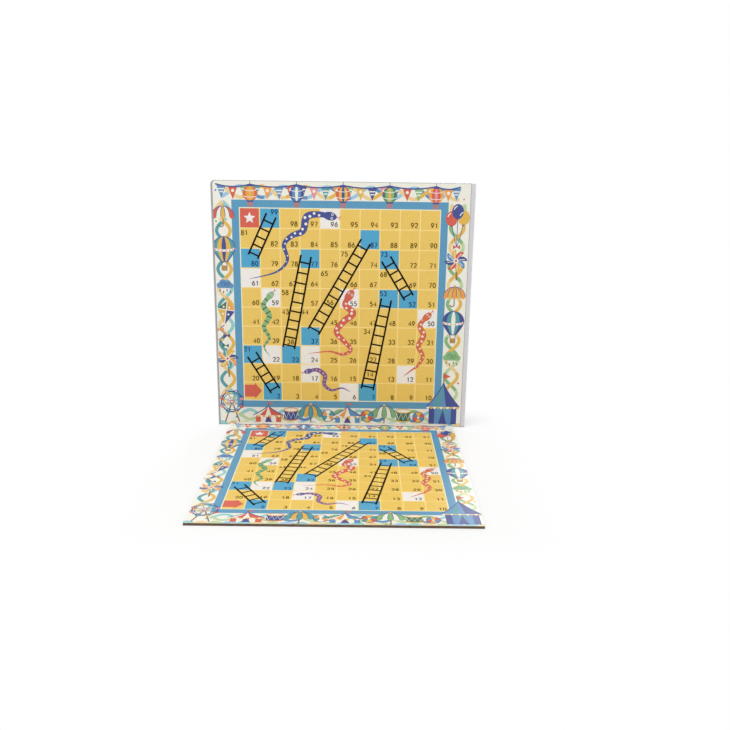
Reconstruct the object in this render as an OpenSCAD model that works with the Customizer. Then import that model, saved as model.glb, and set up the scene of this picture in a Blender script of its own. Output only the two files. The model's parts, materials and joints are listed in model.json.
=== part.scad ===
// Folding game board standing open at a right angle.
// A square lower leaf lies on the table. A slightly larger upper leaf stands at its rear edge.
// Each leaf is greyboard faced with a printed sheet, and a strip of cloth let in under the two
// printed sheets joins them. The leaves close face to face and also open out flat.
// X runs along the fold, +Y to the rear, +Z up. The origin is the centre of the base.

/* [Lower leaf] */
// Width of the lower leaf along the fold
lower_w = 216; // [150:1:300]
// Depth of the lower leaf, from its front edge to the fold line
lower_d = 216; // [150:1:300]

/* [Upper leaf] */
// Width of the printed sheet on the upper leaf
upper_print_w = 234; // [160:1:320]
// Height of the printed sheet on the upper leaf
upper_print_h = 229.5; // [160:0.5:320]
// Cover paper left showing at the left of the printed sheet
rim_left = 2; // [0.5:0.5:10]
// Cover paper left showing at the right of the printed sheet
rim_right = 4.5; // [0.5:0.5:10]
// Cover paper left showing above the printed sheet
rim_top = 0.5; // [0.5:0.5:10]
// Cover paper left showing below the printed sheet, at each end of the cloth
rim_foot = 0.5; // [0.5:0.1:1.5]
// Radius of the top left corner of the upper leaf, which is bumped
corner_left_r = 4; // [0.5:0.5:10]
// Radius of the top right corner of the upper leaf, which is still nearly square
corner_right_r = 1; // [0.5:0.5:10]

/* [Board and papers] */
// Thickness of the greyboard in both leaves
board_t = 2; // [1:0.1:3]
// Thickness of the printed sheets
face_t = 0.2; // [0.1:0.05:0.4]
// Thickness of the plain paper under the lower leaf
lining_t = 0.15; // [0.1:0.05:0.4]
// Thickness of the cover paper wrapped round the upper leaf
cover_t = 0.15; // [0.1:0.05:0.4]
// Width of the cover paper turned in over the face of the upper leaf
turn_in = 15; // [12:1:30]

/* [Cloth hinge] */
// How far the cloth stops short of each end of the narrower leaf
cloth_inset = 4; // [0:0.5:20]
// Width of cloth pasted under each printed sheet
flap_w = 9; // [4:0.5:11]
// Thickness of the pasted cloth
cloth_t = 0.25; // [0.15:0.05:0.4]
// Thickness of the cloth where it is drawn thin beside the crease
lip_t = 0.15; // [0.1:0.05:0.25]
// Radius of the ridge that the cloth makes along the crease
crease_r = 0.2; // [0.15:0.05:0.3]

/* [Clearances] */
// From each printed face to the fold line, so half the gap between the closed faces
face_gap = 0.3; // [0.3:0.05:1]
// Between the cloth ridge and the upper leaf's cloth
run_gap = 0.1; // [0.05:0.05:0.3]
// Between the edges of the two leaves when they are opened out flat
edge_gap = 0.3; // [0.2:0.1:1]

/* [Hidden] */
// Facets on round edges
$fn = 48;

// Levels of the lower leaf, from the table up
lower_board_top = lining_t + board_t;
lower_top = lower_board_top + face_t;

// Fold line, just above the lower face and just in front of the upper face
fold_z = lower_top + face_gap;
upper_thick = face_t + board_t + cover_t;
fold_y = (lower_d - face_gap - upper_thick) / 2;

// The lower leaf stops short of the fold, because the foot of the upper leaf turns through that gap
rear_y = fold_y - fold_z - edge_gap - lip_t;
front_y = fold_y - lower_d;
lower_len = rear_y - front_y;

// The upper leaf stands on the table, and its printed sheet starts just above the crease of the cloth
upper_face_y = fold_y + face_gap;
upper_board_y = upper_face_y + face_t;
lip_z = fold_z + crease_r + run_gap;
upper_print_z = lip_z + lip_t;
leaf_w = rim_left + upper_print_w + rim_right;
leaf_h = upper_print_z + upper_print_h + rim_top;
corner_r = [corner_left_r, corner_right_r];
print_corner_r = inner_radii(min(rim_left, rim_right) / 2);

// Length of the cloth along the fold
cloth_w = min(lower_w, leaf_w) - 2 * cloth_inset;

// Overshoot of a cut past the face that it opens
cut_over = 1;

// Corner radii of an outline set in from the upper leaf's edge
function inner_radii(inset) = [for (r = corner_r) max(r - inset, 0)];

// A block centred on the fold's middle, from y and z up
module block(w, y, z, d, h) {
    translate([-w / 2, y, z]) cube([w, d, h]);
}

// Outline of a standing sheet or board, square at its foot and round at its top left and right corners
module upright_outline(w, h, radii) {
    translate([radii[0] - w / 2, 0]) square([w - radii[0] - radii[1], h]);
    for (i = [0, 1])
        if (radii[i] > 0) {
            translate([i == 0 ? -w / 2 : w / 2 - radii[i], 0]) square([radii[i], h - radii[i]]);
            translate([(2 * i - 1) * (w / 2 - radii[i]), h - radii[i]]) circle(r = radii[i]);
        }
}

// A slab of that outline, standing from z up, with its face at y
module upright_slab(w, h, radii, y, z, d) {
    translate([0, y + d, z])
        rotate([90, 0, 0])
            linear_extrude(d)
                upright_outline(w, h, radii);
}

// A slab in the upper leaf, set in by the same amount from all four of its edges
module leaf_block(inset, y, d) {
    upright_slab(leaf_w - 2 * inset, leaf_h - 2 * inset, inner_radii(inset), y, inset, d);
}

// Room for the cloth in the top of the lower board
module lower_cloth_pocket() {
    block(cloth_w, rear_y - flap_w, lower_board_top - cloth_t, flap_w + cut_over, cloth_t + cut_over);
}

// Room for the cloth in the face of the upper board, through the turned-in paper
module upper_cloth_pocket() {
    block(cloth_w, upper_board_y - cut_over, lip_z, cloth_t + cut_over, lip_t + flap_w);
}

// Plain paper pasted under the lower leaf
module lower_back_sheet() {
    color("gainsboro")
        block(lower_w, front_y, 0, lower_len, lining_t);
}

// Greyboard of the lower leaf, raw at its edges
module lower_board() {
    color("rosybrown")
        difference() {
            block(lower_w, front_y, lining_t, lower_len, board_t);
            lower_cloth_pocket();
        }
}

// Printed sheet on top of the lower leaf, trimmed flush with the board
module lower_face_sheet() {
    color("khaki")
        block(lower_w, front_y, lower_board_top, lower_len, face_t);
}

// Lower half of the cloth: pasted flap, rise behind the board, free tongue and round crease
module hinge_cloth_lower() {
    tongue_z = fold_z - run_gap / 2 - lip_t;
    flap_z = lower_board_top - cloth_t;
    color("antiquewhite") {
        block(cloth_w, rear_y - flap_w, flap_z, flap_w + lip_t, cloth_t);
        block(cloth_w, rear_y, flap_z, lip_t, tongue_z + lip_t - flap_z);
        block(cloth_w, rear_y, tongue_z, fold_y - rear_y, lip_t);
        translate([-cloth_w / 2, fold_y, fold_z])
            rotate([0, 90, 0])
                cylinder(r = crease_r, h = cloth_w);
    }
}

// Upper half of the cloth: lip beside the crease and flap pasted under the upper printed sheet
module hinge_cloth_upper() {
    lip_y = fold_y + run_gap;
    color("antiquewhite") {
        block(cloth_w, lip_y, lip_z, upper_board_y + cloth_t - lip_y, lip_t);
        block(cloth_w, upper_board_y, lip_z, cloth_t, lip_t + flap_w);
    }
}

// Greyboard of the upper leaf, pressed in round its face where the cover paper is turned in
module upper_board() {
    color("rosybrown")
        difference() {
            union() {
                leaf_block(cover_t, upper_board_y + cover_t, board_t - cover_t);
                leaf_block(turn_in, upper_board_y, board_t);
            }
            upper_cloth_pocket();
        }
}

// One sheet of pale paper over the back and edges of the upper leaf, turned in round its face
module upper_cover_paper() {
    color("whitesmoke")
        difference() {
            leaf_block(0, upper_board_y, board_t + cover_t);
            leaf_block(cover_t, upper_board_y + cover_t, board_t - cover_t);
            leaf_block(turn_in, upper_board_y - cut_over, board_t + cut_over);
            upper_cloth_pocket();
        }
}

// Printed sheet pasted on the face of the upper leaf, over the turned-in paper and the cloth.
// It is cut away where the cloth comes out from under it, and runs down to the foot at either end.
module upper_face_sheet() {
    sheet_h = upper_print_z + upper_print_h - rim_foot;
    color("khaki")
        difference() {
            translate([(rim_left - rim_right) / 2, 0, 0])
                upright_slab(upper_print_w, sheet_h, print_corner_r, upper_face_y, rim_foot, face_t);
            block(cloth_w + 2 * edge_gap, upper_face_y - cut_over, rim_foot - cut_over,
                face_t + 2 * cut_over, upper_print_z - rim_foot + cut_over);
        }
}

lower_back_sheet();
lower_board();
lower_face_sheet();
hinge_cloth_lower();
hinge_cloth_upper();
upper_board();
upper_cover_paper();
upper_face_sheet();
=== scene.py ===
# %% [markdown]
# # A folding board for ladders and snakes
# The board stands open at a right angle: a square leaf lies on the table and a slightly larger one stands
# at its rear edge. The solids arrive as a fixed frame in metres, with +X along the fold, +Y to the rear and
# +Z up. Everything in this lesson is the finish on that frame: paper, ink, cloth, raw board, light and
# camera.

# %% Load the frame
import json
import math

import bmesh
import bpy
from mathutils import Color, Matrix, Vector


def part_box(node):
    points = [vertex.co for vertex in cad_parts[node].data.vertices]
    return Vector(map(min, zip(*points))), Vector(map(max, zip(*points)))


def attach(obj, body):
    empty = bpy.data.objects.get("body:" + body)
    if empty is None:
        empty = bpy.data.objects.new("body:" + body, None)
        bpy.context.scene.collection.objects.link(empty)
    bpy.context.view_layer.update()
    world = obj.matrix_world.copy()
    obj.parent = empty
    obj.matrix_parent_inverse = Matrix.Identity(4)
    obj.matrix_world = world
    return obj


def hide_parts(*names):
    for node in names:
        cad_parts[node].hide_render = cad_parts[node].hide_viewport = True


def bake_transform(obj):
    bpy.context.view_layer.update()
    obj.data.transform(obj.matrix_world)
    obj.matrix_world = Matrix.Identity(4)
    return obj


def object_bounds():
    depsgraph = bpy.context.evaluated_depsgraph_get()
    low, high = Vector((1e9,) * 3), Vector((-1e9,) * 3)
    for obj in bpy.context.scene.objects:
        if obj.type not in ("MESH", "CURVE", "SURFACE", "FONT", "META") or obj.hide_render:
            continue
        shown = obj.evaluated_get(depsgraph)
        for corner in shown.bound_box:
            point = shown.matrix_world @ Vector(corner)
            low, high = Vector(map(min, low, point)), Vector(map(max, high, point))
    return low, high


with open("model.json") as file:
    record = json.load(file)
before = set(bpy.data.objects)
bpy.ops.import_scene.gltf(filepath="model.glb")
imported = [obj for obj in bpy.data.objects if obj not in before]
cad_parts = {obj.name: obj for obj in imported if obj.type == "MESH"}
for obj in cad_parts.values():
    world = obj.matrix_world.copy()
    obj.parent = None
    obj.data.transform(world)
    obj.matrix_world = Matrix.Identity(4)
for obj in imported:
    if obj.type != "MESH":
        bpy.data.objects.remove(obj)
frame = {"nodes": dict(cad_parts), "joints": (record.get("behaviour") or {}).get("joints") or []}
cad_low, cad_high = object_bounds()
MM = 0.001
print("frame", sorted(frame["nodes"]), "box", [round(x, 4) for x in (*cad_low, *cad_high)])

# %% [markdown]
# ## Camera
# The picture was taken from a little above the table, almost square on, with a moderate lens. A camera can
# be placed by eye, but both printed grids give points whose real places are known, so one lens, height and
# tilt were fitted to both. Blender's camera looks along its own -Z, so the tilt starts from the horizon.

# %% Camera
IMAGE_PX = 730
FOCAL_PX = 788.8
SENSOR_MM = 36.0
CAMERA_AT = Vector((17.1, -623.5, 260.0)) * MM
TILT_DOWN, TURN, ROLL = (math.radians(a) for a in (15.17, -0.38, 0.81))


def add_object(name, data):
    """Puts a camera, mesh or lamp into the scene as an object."""
    made = bpy.data.objects.new(name, data)
    bpy.context.scene.collection.objects.link(made)
    return made


camera_data = bpy.data.cameras.new("camera")
camera_data.sensor_width = SENSOR_MM
camera_data.lens = FOCAL_PX * SENSOR_MM / IMAGE_PX
camera_data.clip_start = 10 * MM
camera_data.clip_end = 20.0
camera = add_object("camera", camera_data)
pose = Matrix.Translation(CAMERA_AT)
for angle, axis in ((TURN, "Z"), (math.radians(90) - TILT_DOWN, "X"), (ROLL, "Z")):
    pose @= Matrix.Rotation(angle, 4, axis)
camera.matrix_world = pose
bpy.context.scene.camera = camera
bpy.context.scene.view_settings.view_transform = "Standard"
print("camera", round(camera_data.lens, 2), "mm lens")

# %% [markdown]
# ## Materials
# Paper and ink are matt colours with very little relief, so a flat colour looks almost right and still
# reads as plastic. What makes paper is uneven ink, fibres of a few tenths of a millimetre and a thin
# varnish. All of that comes from noise in object coordinates, which are metres on the board. Node trees
# take many lines to write out, so two small classes keep each finish short enough to read.

# %% Colours and nodes
def linear(*rgb):
    """A screen colour, 0 to 255, as the linear colour that shaders use."""
    return (*Color([value / 255 for value in rgb]).from_srgb_to_scene_linear(), 1.0)


def grey(value):
    return (value, value, value, 1.0)


class Nodes:
    """Short ways to add nodes to a tree. A value may be a number, a colour or another node's socket."""

    def __init__(self, tree):
        self.tree = tree

    def give(self, socket, value):
        if isinstance(value, bpy.types.NodeSocket):
            self.tree.links.new(value, socket)
        else:
            socket.default_value = value

    def fill(self, node, *values, **named):
        """Inputs in order or by name, with _ for a space. A name in small letters is a setting."""
        for socket, value in zip(node.inputs, values):
            self.give(socket, value)
        for name, value in named.items():
            if name.islower():
                setattr(node, name, value)
            else:
                self.give(node.inputs[name.replace("_", " ")], value)
        return node

    def add(self, kind, *values, **named):
        return self.fill(self.tree.nodes.new("ShaderNode" + kind), *values, **named)

    def maths(self, how, *values):
        return self.add("Math", *values, operation=how).outputs[0]

    def vector(self, how, *values):
        """Arithmetic on three axes at once."""
        node = self.add("VectorMath", *values, operation=how)
        return node.outputs["Value" if how == "LENGTH" else "Vector"]

    def blend(self, share, first, second):
        return self.add("MixShader", share, first, second).outputs[0]

    def shown(self):
        """1 for what the camera sees, straight or in a mirror or glass, and 0 for all other light."""
        rays = self.add("LightPath").outputs
        seen = self.maths("MAXIMUM", rays["Is Camera Ray"], rays["Is Glossy Ray"])
        return self.maths("MAXIMUM", seen, rays["Is Transmission Ray"])


# %% Finishes
class Finish(Nodes):
    """A material with a Principled shader, and the patterns that go into it."""

    def __init__(self, name):
        self.material = bpy.data.materials.new(name)
        self.material.use_nodes = True
        super().__init__(self.material.node_tree)
        self.shader = self.tree.nodes["Principled BSDF"]
        self.place = self.add("TexCoord").outputs["Object"]

    def surface(self, **named):
        self.fill(self.shader, **named)
        return self.material

    def stretched(self, *scale):
        """Object coordinates with each axis multiplied, for grain that runs one way."""
        return self.add("Mapping", Vector=self.place, Scale=scale).outputs["Vector"]

    def noise(self, scale, detail=3.0, rough=0.55, where=None):
        where = where or self.place
        node = self.add("TexNoise", Vector=where, Scale=scale, Detail=detail, Roughness=rough)
        return node.outputs["Fac"]

    def ramp(self, value, *stops):
        """Colours or greys along a value: each stop is (position, colour)."""
        node = self.add("ValToRGB", Fac=value)
        elements = node.color_ramp.elements
        while len(elements) < len(stops):
            elements.new(0.5)
        for element, (position, colour) in zip(elements, stops):
            element.position = position
            element.color = colour
        return node.outputs["Color"]

    def mix(self, how, share, first, second):
        """Two colours mixed."""
        node = self.add("Mix", data_type="RGBA", blend_type=how)
        for index, value in ((0, share), (6, first), (7, second)):
            self.give(node.inputs[index], value)
        return node.outputs[2]

    def shaded(self, colour, value, low, shade, high):
        """A colour times shade where a value is under low, and as it is where the value is over high."""
        return self.mix("MULTIPLY", 1.0, colour, self.ramp(value, (low, grey(shade)), (high, grey(1.0))))

    def between(self, value, low, high):
        return self.add("MapRange", Value=value, To_Min=low, To_Max=high).outputs["Result"]

    def fade(self, value, start, end, at_start, at_end):
        """A value that passes from at_start to at_end as another runs from start to end."""
        span = {"From_Min": start, "From_Max": end, "To_Min": at_start, "To_Max": at_end}
        return self.add("MapRange", Value=value, interpolation_type="SMOOTHSTEP", **span).outputs["Result"]

    def relief(self, height, depth, strength):
        return self.add("Bump", Height=height, Distance=depth, Strength=strength).outputs["Normal"]


# %% [markdown]
# ## Printed paper
# The face sheets are offset prints under a satin varnish. Each ink is its own material, so that the same
# colour is used wherever the press would have used it. The ink is a touch mottled, and the fibres of the
# sheet show through as a fine bump. Ladders and numbers are overprinted last in line inks, which lie matt.

# %% Printed paper
VARNISH_COAT = 0.35
VARNISH_ROUGHNESS = 0.3
VARNISH_SPECULAR = 0.4
LINE_INK_GLOSS = 0.1


def printed(name, colour, gloss=1.0):
    finish = Finish(name)
    mottle = finish.noise(260.0, detail=4.0)
    grain = finish.noise(3800.0, detail=2.0, rough=0.7)
    inked = finish.shaded(colour, mottle, 0.3, 0.955, 0.7)
    return finish.surface(
        Base_Color=finish.shaded(inked, grain, 0.25, 0.94, 0.75),
        Roughness=finish.between(mottle, 0.44, 0.56),
        Normal=finish.relief(grain, 0.02 * MM, 0.5),
        Specular_IOR_Level=VARNISH_SPECULAR * gloss,
        Coat_Weight=VARNISH_COAT * gloss,
        Coat_Roughness=VARNISH_ROUGHNESS,
    )


# %% Inks
INK_COLOURS = {
    "cream": (241, 240, 228),
    "band_blue": (86, 152, 190),
    "line_straw": (253, 224, 142),
    "line_pale": (244, 241, 208),
    "square_yellow": (238, 200, 96),
    "square_sky": (70, 165, 208),
    "square_white": (243, 239, 235),
    "signal_red": (214, 92, 72),
    "navy": (58, 72, 142),
    "mid_blue": (92, 142, 190),
    "teal": (78, 156, 164),
    "aqua": (146, 204, 206),
    "pale_blue": (158, 200, 226),
    "pale_green": (190, 212, 160),
    "sand": (236, 208, 150),
    "leaf_green": (132, 182, 124),
    "deep_green": (64, 112, 88),
    "orange": (238, 158, 74),
    "rust": (212, 104, 58),
    "mustard": (228, 182, 78),
    "pink": (232, 146, 152),
    "violet": (104, 84, 150),
    "brown": (140, 98, 62),
}
LINE_INK_COLOURS = {
    "number_olive": (104, 84, 20),
    "number_slate": (92, 90, 88),
    "number_navy": (28, 74, 118),
    "ladder_black": (26, 20, 12),
}
inks = {name: printed("ink_" + name, linear(*rgb)) for name, rgb in INK_COLOURS.items()}
for name, rgb in LINE_INK_COLOURS.items():
    inks[name] = printed("ink_" + name, linear(*rgb), LINE_INK_GLOSS)
print("inks", len(inks))

# %% [markdown]
# ## Greyboard, cover paper, lining and cloth
# The cut edge of the lower leaf is raw greyboard: brown, in thin layers, with pale and dark fibres. The
# upper leaf is wrapped in pale paper, the underside has a plain lining, and the fold is a strip of woven
# cloth. Layers come from noise squeezed in one direction, and the weave from two crossed wave textures.

# %% Greyboard and book cloth
def greyboard():
    finish = Finish("greyboard")
    layers = finish.noise(1.0, detail=5.0, where=finish.stretched(260.0, 260.0, 5200.0))
    fibres = finish.noise(1.0, detail=2.0, rough=0.8, where=finish.stretched(2600.0, 2600.0, 9000.0))
    browns = (0.28, linear(74, 59, 46)), (0.52, linear(108, 88, 70)), (0.74, linear(138, 116, 95))
    flecks = (0.36, grey(0.62)), (0.5, grey(1.0)), (0.7, grey(1.0)), (0.78, grey(1.35))
    return finish.surface(
        Base_Color=finish.mix("MULTIPLY", 0.8, finish.ramp(layers, *browns), finish.ramp(fibres, *flecks)),
        Roughness=finish.between(fibres, 0.8, 0.98),
        Normal=finish.relief(fibres, 0.12 * MM, 0.8),
        Specular_IOR_Level=0.2,
    )


def book_cloth():
    finish = Finish("book_cloth")
    threads = []
    for direction in ("X", "Y"):
        wave = finish.add("TexWave", Vector=finish.place, Scale=640.0, Distortion=0.6, Detail=1.0,
                          bands_direction=direction)
        threads.append(wave.outputs["Fac"])
    weave = finish.mix("MULTIPLY", 1.0, *threads)
    return finish.surface(
        Base_Color=finish.ramp(weave, (0.0, linear(196, 188, 166)), (0.6, linear(236, 230, 212))),
        Roughness=finish.between(weave, 0.75, 0.9),
        Normal=finish.relief(weave, 0.08 * MM, 0.7),
        Sheen_Weight=0.15,
    )


board_finish = greyboard()
cloth_finish = book_cloth()
print("finishes", board_finish.name, cloth_finish.name)

# %% Plain papers
RUB_REACH, RUB_SHARE, RUBBED_COLOUR = 5 * MM, 0.5, linear(236, 233, 228)
# How far the painted shade reaches beside the printed sheet, and how dark it and the painted shade at the
# foot are.
LEFT_SHADE_REACH, RIGHT_SHADE_REACH, EDGE_SHADE, FOOT_SHADE = 4.5 * MM, 0.9 * MM, 0.5, 0.4


def plain_paper(name, colour, fibre_depth, low, high, wear_and_shade=None):
    finish = Finish(name)
    cloudy = finish.noise(70.0, detail=5.0)
    fibres = finish.noise(1.0, detail=3.0, rough=0.75, where=finish.stretched(2400.0, 900.0, 900.0))
    clouded = finish.shaded(colour, cloudy, 0.3, 0.955, 0.7)
    paper = finish.shaded(clouded, fibres, 0.3, 0.93, 0.62)
    return finish.surface(
        # Optional extra marks on the paper: for the cover, rubbed edges and painted shade.
        Base_Color=wear_and_shade(finish, paper) if wear_and_shade else paper,
        Roughness=finish.between(cloudy, low, high),
        Normal=finish.relief(fibres, fibre_depth, 0.6),
        Specular_IOR_Level=0.35,
    )


def handled(finish, paper):
    """Rubbed, lighter edges from use, and painted shade: grey lines beside the printed sheet and along the
    foot.
    """
    sheet_low, sheet_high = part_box("upper_face_sheet")
    low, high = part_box("upper_cover_paper")
    axes = finish.add("SeparateXYZ", finish.place).outputs
    x, y, z = axes["X"], axes["Y"], axes["Z"]
    gaps = [finish.maths("SUBTRACT", a, b) for a, b in ((x, low.x), (high.x, x), (high.z, z))]
    to_edge = finish.maths("MINIMUM", finish.maths("MINIMUM", gaps[0], gaps[1]), gaps[2])
    patchy = finish.maths("MULTIPLY", finish.noise(240.0, detail=4.0), RUB_REACH)
    from_edge = finish.maths("ADD", to_edge, patchy)
    rubbed = finish.fade(from_edge, 0.45 * RUB_REACH, 0.8 * RUB_REACH, RUB_SHARE, 0.0)
    paper = finish.mix("MIX", rubbed, paper, RUBBED_COLOUR)
    # Painted shade only on the face of the wrap: further back it fades out.
    behind = finish.fade(y, sheet_high.y + 0.2 * MM, sheet_high.y + 0.4 * MM, 0.0, 1.0)
    # Painted shade beside the printed sheet, wider on the left, where the rim is painted as in shade.
    left_painted_shade = finish.fade(x, sheet_low.x - LEFT_SHADE_REACH, sheet_low.x, 1.0, EDGE_SHADE)
    right_painted_shade = finish.fade(x, sheet_high.x, sheet_high.x + RIGHT_SHADE_REACH, EDGE_SHADE, 1.0)
    beside = finish.maths("MAXIMUM", left_painted_shade, right_painted_shade)
    # Painted shade along the foot, where the leaf meets the table.
    foot = finish.fade(z, 0.3 * MM, 0.9 * MM, FOOT_SHADE, 1.0)
    shade = finish.maths("MULTIPLY", finish.maths("MAXIMUM", beside, behind), foot)
    return finish.mix("MULTIPLY", 1.0, paper, shade)


# The cover paper gets rubbed edges and painted shade beside the printed sheet and along the foot.
cover_finish = plain_paper("cover_paper", linear(214, 213, 217), 0.03 * MM, 0.42, 0.52, wear_and_shade=handled)
lining_finish = plain_paper("lining_paper", linear(214, 210, 202), 0.05 * MM, 0.72, 0.86)
print("finishes", cover_finish.name, lining_finish.name)

# %% Finishes on the solids
CAD_FINISHES = {
    "lower_board": board_finish,
    "upper_board": board_finish,
    "lower_back_sheet": lining_finish,
    "lower_face_sheet": inks["cream"],
    "upper_face_sheet": inks["cream"],
}
for node, finish in CAD_FINISHES.items():
    slots = frame["nodes"][node].data.materials
    slots.clear()
    slots.append(finish)
print("solids with a finish", len(CAD_FINISHES))

# %% [markdown]
# ## Where the print goes
# Both leaves carry the same print, at two sizes. So the print is drawn once, on a flat sheet measured in
# squares: u runs right and v runs down from the top left corner of the grid. A leaf then says where that
# corner lies in the room and how large a square is. Whatever runs past the edge of a sheet is trimmed off.

# %% The two leaves
GRID = 10
LOWER_MARGIN = 1.35
UPPER_MARGIN = 1.29
UPPER_SQUARE = 18.36 * MM
RIGHT, REAR, UP = Vector((1, 0, 0)), Vector((0, 1, 0)), Vector((0, 0, 1))


class Leaf:
    """A printed face: the grid's top left corner, the directions of u and v, and the sheet's edges."""

    def __init__(self, name, corner, down, out, square, low, high):
        self.name, self.body = name, name + "_leaf"
        self.corner, self.right, self.down, self.out = corner, RIGHT * square, down * square, out
        self.square, self.low, self.high = square, low, high

    def at(self, u, v, height):
        return self.corner + self.right * u + self.down * v + self.out * height


def lower_leaf():
    low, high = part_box("lower_face_sheet")
    square = (high.x - low.x) / (GRID + 2 * LOWER_MARGIN)
    last = GRID + LOWER_MARGIN
    corner = Vector((low.x + LOWER_MARGIN * square, low.y + last * square, high.z))
    first_v = (corner.y - high.y) / square
    return Leaf("lower", corner, -REAR, UP, square, (-LOWER_MARGIN, first_v), (last, last))


def upper_leaf():
    low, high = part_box("upper_face_sheet")
    square = UPPER_SQUARE
    corner = Vector((low.x + UPPER_MARGIN * square, low.y, high.z - UPPER_MARGIN * square))
    last = ((high.x - corner.x) / square, (corner.z - low.z) / square)
    return Leaf("upper", corner, -UP, -REAR, square, (-UPPER_MARGIN, -UPPER_MARGIN), last)


leaves = [lower_leaf(), upper_leaf()]
for leaf in leaves:
    print(leaf.name, "square", round(leaf.square / MM, 2), "mm, sheet to", [round(x, 2) for x in leaf.high])

# %% [markdown]
# ## Drawing with flat shapes
# An image would be the usual way to print on a mesh. Shapes keep every edge sharp at any distance and leave
# clean meshes behind, so each patch of ink is a thin slab on the sheet: a loop is a closed outline, and a
# stroke is a line with a width. A stencil draws them in its own units, at its own place, size and turn.
# Later layers of ink lie a few hundredths of a millimetre higher.

# %% Curves
MIDDLE = (0, 0)


def arc(centre, rx, ry, start, end, steps):
    """Points on an ellipse. Angles are in degrees from the right, clockwise, as v runs down."""
    angles = [math.radians(start + (end - start) * i / steps) for i in range(steps + 1)]
    return [(centre[0] + rx * math.cos(a), centre[1] + ry * math.sin(a)) for a in angles]


def ring(centre, rx, ry=None, steps=32):
    return arc(centre, rx, ry or rx, 0, 360, steps)[:-1]


def curve(points, steps=10):
    """A smooth line through a few points (Catmull-Rom)."""
    ends = [points[0], *points, points[-1]]
    smooth = []
    for a, b, c, d in zip(ends, ends[1:], ends[2:], ends[3:]):
        for i in range(steps):
            t = i / steps
            smooth.append(tuple(
                0.5 * (2 * b[k] + (c[k] - a[k]) * t + (2 * a[k] - 5 * b[k] + 4 * c[k] - d[k]) * t ** 2
                       + (3 * b[k] - a[k] - 3 * c[k] + d[k]) * t ** 3)
                for k in (0, 1)))
    return smooth + [points[-1]]


def ribbon(points, width, closed=False):
    """Both sides of a band along points. width is a number, or a function of the share of the way along."""
    count = len(points)
    left, right = [], []
    for i, (x, y) in enumerate(points):
        before = points[i - 1] if closed or i else points[0]
        after = points[(i + 1) % count] if closed or i < count - 1 else points[-1]
        half = (width(i / (count - 1)) if callable(width) else width) / 2
        half /= math.dist(before, after) or 1.0
        dx, dy = (before[1] - after[1]) * half, (after[0] - before[0]) * half
        left.append((x + dx, y + dy))
        right.append((x - dx, y - dy))
    return left, right


def heading(start, end):
    return math.degrees(math.atan2(end[1] - start[1], end[0] - start[0]))


# %% Stencils
INK_LAYER, OWN_STEP = 0.03 * MM, 0.001 * MM
GROUND, FLAGS, BEHIND, BODY, TRIM, TOP, OVER, LAST = 1, 1.5, 2, 3, 4, 5, 6, 7
STAR_TIPS, STAR_WAIST = 5, 0.45
drawing, placed = {}, {}


class Stencil:
    """Draws on one printed piece in its own units, which are laid at a place, at a size and a turn."""

    def __init__(self, piece, centre=MIDDLE, size=1.0, turn=0):
        self.piece, self.centre, self.size = piece, centre, size
        self.cos, self.sin = math.cos(math.radians(turn)), math.sin(math.radians(turn))

    def at(self, x, y):
        x, y = x * self.size, y * self.size
        return self.centre[0] + x * self.cos - y * self.sin, self.centre[1] + x * self.sin + y * self.cos

    def again(self, x=0, y=0, turn=0):
        """A stencil of the same size at a point of this one, with a turn of its own."""
        return Stencil(self.piece, self.at(x, y), self.size, turn)

    def put(self, ink, layer, points, faces, rims):
        """Adds a shape. Shapes that may overlap in one layer get heights of their own, because tops in one
        plane would shade each other."""
        points = [self.at(x, y) for x, y in points]
        us, vs = zip(*points)
        u0, u1, v0, v1 = min(us), max(us), min(vs), max(vs)
        beside = placed.setdefault(layer, [])
        used = {own for own, a0, a1, b0, b1 in beside if u0 < a1 and a0 < u1 and v0 < b1 and b0 < v1}
        own = min(set(range(len(used) + 1)) - used)
        beside.append((own, u0, u1, v0, v1))
        height = layer * INK_LAYER + own * OWN_STEP
        drawing.setdefault(self.piece, []).append((ink, height, points, faces, rims))

    def loop(self, ink, layer, points):
        """A closed outline. All run the same way round, so that their tops face out."""
        turn = sum(a[0] * b[1] - a[1] * b[0] for a, b in zip(points, points[1:] + points[:1]))
        order = list(range(len(points)))[::-1 if turn > 0 else 1]
        self.put(ink, layer, points, [order], [order])

    def box(self, ink, layer, x0, y0, x1, y1):
        self.loop(ink, layer, [(x0, y0), (x1, y0), (x1, y1), (x0, y1)])

    def disc(self, ink, layer, centre, rx, ry=None, steps=32):
        self.loop(ink, layer, ring(centre, rx, ry, steps))

    def dots(self, ink, layer, points, radius, steps=14):
        """Round dots, which don't turn with the stencil."""
        for x, y in points:
            self.again(x, y).disc(ink, layer, MIDDLE, radius, steps=steps)

    def star(self, ink, layer, centre, radius):
        angles = [math.radians(180 * i / STAR_TIPS - 90) for i in range(2 * STAR_TIPS)]
        reaches = [radius, radius * STAR_WAIST] * STAR_TIPS
        tips = [(r * math.cos(a), r * math.sin(a)) for r, a in zip(reaches, angles)]
        self.loop(ink, layer, [(centre[0] + x, centre[1] + y) for x, y in tips])

    def stroke(self, ink, layer, points, width, closed=False):
        left, right = ribbon(points, width, closed)
        count = len(points)
        pairs = [(i, (i + 1) % count) for i in range(count if closed else count - 1)]
        faces = [[i, j, count + j, count + i] for i, j in pairs]
        there, back = list(range(count)), list(range(2 * count - 1, count - 1, -1))
        rims = [there, back] if closed else [there + back]
        self.put(ink, layer, left + right, faces, rims)


# %% [markdown]
# ## Grid, frame band and coloured squares
# The squares are numbered from the bottom left, and each row runs back over the one below. Ladders join
# blue squares and snakes join white ones. The thin lines between the squares are not drawn: a
# straw-coloured plate lies under slightly smaller squares and shows in the gaps, and a paler plate under
# that one makes the outline.

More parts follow.
